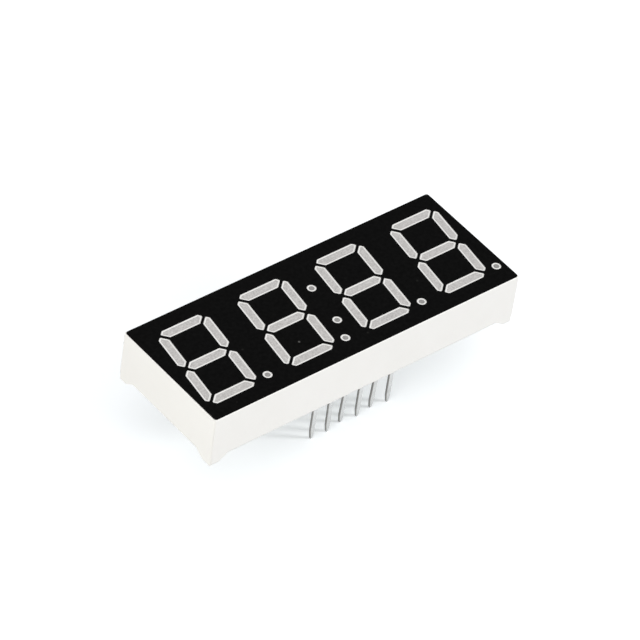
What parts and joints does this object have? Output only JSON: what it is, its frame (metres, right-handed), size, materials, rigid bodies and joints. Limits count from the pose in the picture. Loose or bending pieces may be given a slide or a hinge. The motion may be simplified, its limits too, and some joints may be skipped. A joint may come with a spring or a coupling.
{
  "type": "seven segment display module",
  "caption": "Clock-style LED display: leaning seven-segment digits, a colon and decimal points in a white housing with a black face, on two rows of flat pins.",
  "frame": {"origin": "centre of the module in plan, at the level of the pin tips", "axes": "+X along the row of digits from the first digit to the last, +Y from the bottom of the digits to their top, +Z out of the black face"},
  "size_m": [0.0502, 0.019, 0.0144],
  "materials": {
    "white_housing": "satin white moulded reflector plastic",
    "black_ink": "matte black printed ink",
    "diffused_epoxy": "milky light-grey diffused epoxy, level with the face",
    "board_laminate": "bare glass-fibre laminate",
    "led_die": "semiconductor chip",
    "gold_wire": "fine gold wire",
    "tinned_pin": "tinned brass, satin",
    "solder": "bright solder",
    "sealing_resin": "cast resin, slightly cloudy and glossy"
  },
  "bodies": {
    "root": {"housing": "white_housing", "face_ink": "black_ink", "digit_1_segment_a": "diffused_epoxy", "digit_1_segment_b": "diffused_epoxy", "digit_1_segment_c": "diffused_epoxy", "digit_1_segment_d": "diffused_epoxy", "digit_1_segment_e": "diffused_epoxy", "digit_1_segment_f": "diffused_epoxy", "digit_1_segment_g": "diffused_epoxy", "digit_2_segment_a": "diffused_epoxy", "digit_2_segment_b": "diffused_epoxy", "digit_2_segment_c": "diffused_epoxy", "digit_2_segment_d": "diffused_epoxy", "digit_2_segment_e": "diffused_epoxy", "digit_2_segment_f": "diffused_epoxy", "digit_2_segment_g": "diffused_epoxy", "digit_3_segment_a": "diffused_epoxy", "digit_3_segment_b": "diffused_epoxy", "digit_3_segment_c": "diffused_epoxy", "digit_3_segment_d": "diffused_epoxy", "digit_3_segment_e": "diffused_epoxy", "digit_3_segment_f": "diffused_epoxy", "digit_3_segment_g": "diffused_epoxy", "digit_4_segment_a": "diffused_epoxy", "digit_4_segment_b": "diffused_epoxy", "digit_4_segment_c": "diffused_epoxy", "digit_4_segment_d": "diffused_epoxy", "digit_4_segment_e": "diffused_epoxy", "digit_4_segment_f": "diffused_epoxy", "digit_4_segment_g": "diffused_epoxy", "digit_1_point": "diffused_epoxy", "digit_2_point": "diffused_epoxy", "digit_3_point": "diffused_epoxy", "digit_4_point": "diffused_epoxy", "colon_upper": "diffused_epoxy", "colon_lower": "diffused_epoxy", "circuit_board": "board_laminate", "led_dies": "led_die", "bond_wires": "gold_wire", "pin_1": "tinned_pin", "pin_2": "tinned_pin", "pin_3": "tinned_pin", "pin_4": "tinned_pin", "pin_5": "tinned_pin", "pin_6": "tinned_pin", "pin_7": "tinned_pin", "pin_8": "tinned_pin", "pin_9": "tinned_pin", "pin_10": "tinned_pin", "pin_11": "tinned_pin", "pin_12": "tinned_pin", "solder_joints": "solder", "back_resin": "sealing_resin"}
  },
  "joints": []
}
